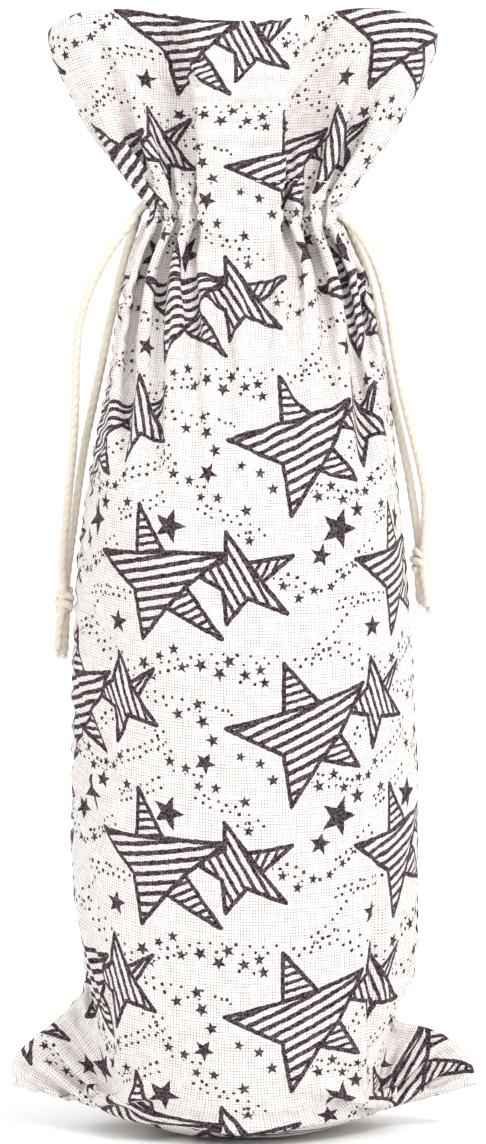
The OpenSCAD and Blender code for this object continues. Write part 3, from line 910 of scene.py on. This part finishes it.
def sweep(path, section, spin=0.0, taper=None):
    """Points, lay (angle and millimetres along) and faces of a tube with flat ends.

    Its section, a radius for each angle, turns spin radians a millimetre.
    """
    heading = np.gradient(path, axis=0)
    heading /= norm(heading, axis=1, keepdims=True)
    aside = np.cross(heading[0], [0.3, 0.9, 0.2])
    gone = np.concatenate([[0], np.cumsum(norm(np.diff(path, axis=0), axis=1))])
    angles = np.linspace(0, 2 * pi, len(section), endpoint=False)
    rings, lay = [], []
    for k, place in enumerate(path):
        aside = aside - heading[k] * (aside @ heading[k])
        aside /= norm(aside)
        other = np.cross(heading[k], aside)
        turned = angles + spin * gone[k]
        size = 1.0 if taper is None else taper[k]
        ring = place + size * np.array(section)[:, None] * (
            np.cos(turned)[:, None] * aside + np.sin(turned)[:, None] * other)
        rings.append(ring)
        lay.append(np.stack(np.broadcast_arrays(angles, gone[k], 0.0), axis=-1))
    sides, count = len(section), len(path) * len(section)
    faces = [list(f) for f in grid_faces(len(path), sides, wrap=True)]
    faces += [list(range(sides - 1, -1, -1)), list(range(count - sides, count))]
    return np.concatenate(rings), np.concatenate(lay), faces


def joined_piece(name, parts, material, body, slot, *nodes):
    """One object from several tubes or strips, each given as points, lay and faces."""
    points, lays, faces, start = [], [], [], 0
    for part_points, lay, part_faces in parts:
        points.append(part_points)
        lays.append(lay)
        faces += [[int(k) + start for k in face] for face in part_faces]
        start += len(part_points)
    piece = mesh_object(name, np.concatenate(points) * MM, faces, material)
    set_vectors(piece.data, "lay", "POINT", np.concatenate(lays))
    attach(piece, body)
    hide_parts(*nodes)
    return piece


CORD_R = 1.45                      # over the crests of the plies
CORD_SIDES = 18
CORD_TWIST = 2 * pi / 9.5     # each ply goes once round in 9.5 mm


def ply_section(radius, plies=3, depth=0.17, sides=CORD_SIDES):
    """Section of a cord of a few plies, with a groove between them."""
    angles = np.linspace(0, 2 * pi, sides, endpoint=False)
    return radius * (1 - depth + depth * np.abs(np.cos(plies * angles / 2)))


def twisted_cord(route, radius=CORD_R, cut_end=False):
    """Points, lay and faces of a cord, a little uneven and swollen at a cut end."""
    path = curve_points(route, 0.7)
    taper = 1 + 0.03 * np.sin(np.arange(len(path)) * 0.9)
    if cut_end:
        taper[-3:] *= [1.04, 1.06, 0.9]
    return sweep(path, ply_section(radius), CORD_TWIST, taper)


def frayed_end(place, heading, seed):
    """Loose fibres at a cut end."""
    local = np.random.default_rng(seed)
    heading = np.array(heading, float) / norm(heading)
    fibres, fibre_r, sides = 16, 0.16, 4
    parts = []
    for _ in range(fibres):
        spread = local.normal(0, 0.55, 3)
        root = np.array(place) + 0.75 * local.uniform(-1, 1, 3) * (1 - np.abs(heading))
        tip = root + heading * local.uniform(1.2, 2.6) + spread
        mid = (root + tip) / 2 + local.normal(0, 0.2, 3)
        path = curve_points([root - heading, mid, tip], 0.8)
        parts.append(sweep(path, [fibre_r] * sides, 0, np.linspace(1, 0.3, len(path))))
    return parts


# Routes of the free cords: a strand from the slit, and its cut end below the knot.
FREE_CORDS = {
    "left_outer": [(-32.6, -2.2, 303), (-37, -2.4, 297), (-43, -2.5, 289), (-49, -2.5, 278),
        (-53, -2.4, 266), (-54.5, -2.2, 252), (-54.8, -2, 238), (-55.5, -2, 225), (-57, -1.9, 210),
        (-58.4, -1.8, 196), (-59.2, -1.7, 186), (-59, -1.6, 177), (-59.4, -1.6, 171), (-60.2, -1.9, 165),
        (-60.6, -2.1, 158)],
    "left_inner": [(-32.6, 2.2, 303), (-35.6, 2.4, 296), (-38.7, 2.6, 286), (-41.3, 2.8, 275),
        (-44, 2.8, 263), (-46.4, 2.6, 251), (-49.2, 2.5, 238), (-51.9, 2.4, 225), (-54.2, 2.2, 210),
        (-56, 2, 196), (-57.4, 1.8, 186), (-58.2, 1.6, 177), (-58.2, 1.7, 171), (-58.4, 1.9, 165),
        (-58.8, 2.1, 157)],
    "right_outer": [(32.6, -2.2, 299), (37, -2.4, 295), (41.5, -2.5, 288), (45, -2.6, 279),
        (47.5, -2.6, 268), (49.5, -2.5, 255), (52, -2.4, 242), (55, -2.3, 230), (57.8, -2.2, 219),
        (59.6, -2, 209), (59.6, -1.8, 199), (59, -1.6, 190), (59, -1.6, 184), (59.8, -1.9, 178),
        (60.4, -2.1, 172)],
    "right_inner": [(32.6, 2.2, 299), (36, 2.4, 293), (39.2, 2.6, 285), (41.8, 2.7, 275),
        (44.3, 2.8, 263), (46.8, 2.8, 251), (49.6, 2.7, 238), (52.2, 2.5, 226), (54.6, 2.3, 214),
        (56.2, 2, 204), (57.2, 1.8, 197), (57.8, 1.6, 190), (57.6, 1.7, 184), (57.8, 1.9, 179),
        (58.2, 2.1, 174)]}


def free_cord(label, route, body, seed, material):
    """One strand from the casing, down into the knot and out as a cut end."""
    x, y, z = route[0]
    lead = [(x - math.copysign(1.3, x), y, z + 0.8)]
    heading = np.array(route[-1]) - np.array(route[-2])
    parts = [twisted_cord(lead + route, cut_end=True)] + frayed_end(route[-1], heading, seed)
    piece = joined_piece(f"{label}_cord", parts, material, body, "cord",
                         f"{label}_strand", f"{label}_tail")


def overhand_knot(name, node, body, lean, material):
    """Both strands tied together: slanting wraps round the strands inside the knot."""
    low, high = box_mm(node)
    middle, half = (low + high) / 2, (high - low) / 2
    wrap_r = half[0] - CORD_R * 0.95
    wrap_turns = 1.15
    down = np.linspace(0, 1, 26)
    parts = []
    for start in (0.0, pi):
        angle = start + 2 * pi * wrap_turns * down
        z = (half[2] - CORD_R) * (1 - 2 * down) * 0.86
        tilt = 0.32 * wrap_r * np.cos(angle + lean)
        swell = wrap_r * (0.72 + 0.28 * np.sin(pi * down))
        route = np.stack([middle[0] + swell * np.cos(angle), middle[1] + swell * np.sin(angle),
                          middle[2] + z + tilt], axis=-1)
        parts.append(twisted_cord(route, CORD_R * 0.98))
    core = [(middle[0], middle[1], middle[2] + s * half[2] * 0.8) for s in (1, 0.4, -0.4, -1)]
    parts.append(twisted_cord(core, CORD_R * 1.1))
    return joined_piece(name, parts, material, body, "cord", node)


def casing_cord(name, node, far_side, body, material):
    """The stretch of a cord that runs round inside the neck, out to where its strands hang.

    It bends round on its far side, 1 for the right, and leaves by the slit on the other side.
    """
    low, high = box_mm(node)
    z = (low[2] + high[2]) / 2
    exit_x = abs(low[0]) if far_side > 0 else abs(high[0])
    strand_y, leg_y, bend_x = 2.2, (high[1] - low[1]) / 2 - 1.5, 16
    leg_x = exit_x - 14.8
    half = [(-exit_x - 1.9, -strand_y), (-leg_x - 7, -strand_y), (-leg_x, -strand_y),
            (-leg_x + 8, -leg_y), (4, -leg_y), (bend_x, -leg_y)]
    bend = [(bend_x + leg_y * math.cos(a), leg_y * math.sin(a)) for a in np.linspace(-1.3, 1.3, 9)]
    plan = half + bend + [(x, -y) for x, y in reversed(half)]
    route = [(far_side * x, y, z) for x, y in plan]
    joined_piece(name, [twisted_cord(route)], material, body, "cord", node)


def thread_tube(route, radius=0.2, sides=6):
    return sweep(curve_points(route, 0.5), [radius] * sides)


def channel_stitches(name, node, grid, side, z, material):
    """A row of running stitches that follows the gathered panel."""
    n = normals_of(grid) * side
    columns = grid.shape[1]
    row = int(np.argmin(np.abs(grid[:, columns // 2, 2] - z)))
    stitch, lift = 3, (-0.25, 0.3, -0.25)
    parts = []
    for first in range(stitch, columns - 2 * stitch, stitch):
        route = [grid[row, first + k] + n[row, first + k] * t for k, t in enumerate(lift)]
        parts.append(thread_tube(route))
    joined_piece(name, parts, material, "sack", "thread", node)


def seam_allowance(edge, turn):
    """A folded strip inside a seam, from the seam line inward, with an overlocked raw edge.

    Inward is to the left of the edge's run, or to its right where turn is -1.
    """
    width, gap = 4.0, 0.2
    run = unit(np.gradient(edge, axis=0))
    inward = turn * np.stack([-run[:, 2], 0 * run[:, 0], run[:, 0]], axis=-1)
    across = (0.4, 1.6, 2.8, width)
    count = len(edge)
    lay = np.stack(np.broadcast_arrays(np.arange(4.0)[None], np.arange(count)[:, None] * 1.0, 0.0),
                   axis=-1)
    parts = []
    for layer in (1, -1):
        rows = [edge + inward * s + [0, layer * (gap + 0.1 * s / width), 0] for s in across]
        points = np.stack(rows, axis=1)
        parts.append((points.reshape(-1, 3), lay.reshape(-1, 3), grid_faces(count, 4)))
    zigzag = []
    for k in range(0, count, 2):
        reach, y = (width + 0.15, 0.5) if (k // 2) % 2 else (width - 1.8, -0.5)
        zigzag.append(edge[k] + inward[k] * reach + [0, y, 0])
    return parts + [thread_tube(zigzag, 0.16)]


def side_seam(name, node, column, front, material):
    """Seam allowance along one side, open at the slit that the cords leave by."""
    parts = []
    slit_foot, slit_top = int(NECK_V - 9), int(NECK_V + 10)
    for first, last in ((2, slit_foot), (slit_top, front.shape[0] - 3)):
        edge = front[first:last:2, column].copy()
        edge[:, 1] = 0
        parts += seam_allowance(edge, 1 if column == -1 else -1)
    joined_piece(name, parts, material, "sack", "seam_allowance", node)


def bottom_seam(name, front, material):
    """Seam allowance along the bottom, standing up inside the base."""
    edge = front[0, 3:-3:2].copy()
    edge[:, 1] = 0
    edge[:, 2] += 0.3
    joined_piece(name, seam_allowance(edge, 1), material, "sack", "seam_allowance", "bottom_seam")


# ---- the sack

add_camera()
cord, thread = cord_cotton(), sewing_thread()
knots = {hand: overhand_knot(f"{hand}_overhand_knot", f"{hand}_knot", f"{hand}_loop", lean, cord)
         for hand, lean in (("left", 0.4), ("right", 1.9))}
for seed, (label, route) in enumerate(FREE_CORDS.items(), 1):
    hand = label.split("_")[0]
    free_cord(label, route, f"{hand}_loop", seed, cord)
casing_cord("left_casing_cord", "left_cord_run", 1, "left_pull", cord)
casing_cord("right_casing_cord", "right_cord_run", -1, "right_pull", cord)

add_studio()
front_grid, back_grid = settled_panels()
front_grid = add_fine_folds(front_grid * SIZE, 1)
back_grid = add_fine_folds(back_grid * SIZE, -1)
cotton = printed_cotton()
front_cloth = cloth_panel("front_cloth", front_grid, 1, cotton, (0, 0))
back_cloth = cloth_panel("back_cloth", back_grid, -1, cotton, (61, 33))
for label, piece, grid, side in (("front", front_cloth, front_grid, 1),
                                 ("back", back_cloth, back_grid, -1)):
    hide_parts(f"{label}_panel")
    for row, z in (("lower", LOWER_STITCH_Z), ("upper", UPPER_STITCH_Z)):
        name = f"{label}_{row}"
        channel_stitches(f"{name}_thread", f"{name}_stitches", grid, side, z, thread)
raw = raw_cotton()
side_seam("left_seam_allowance", "left_side_seam", 0, front_grid, raw)
side_seam("right_seam_allowance", "right_side_seam", -1, front_grid, raw)
bottom_seam("bottom_seam_allowance", front_grid, raw)
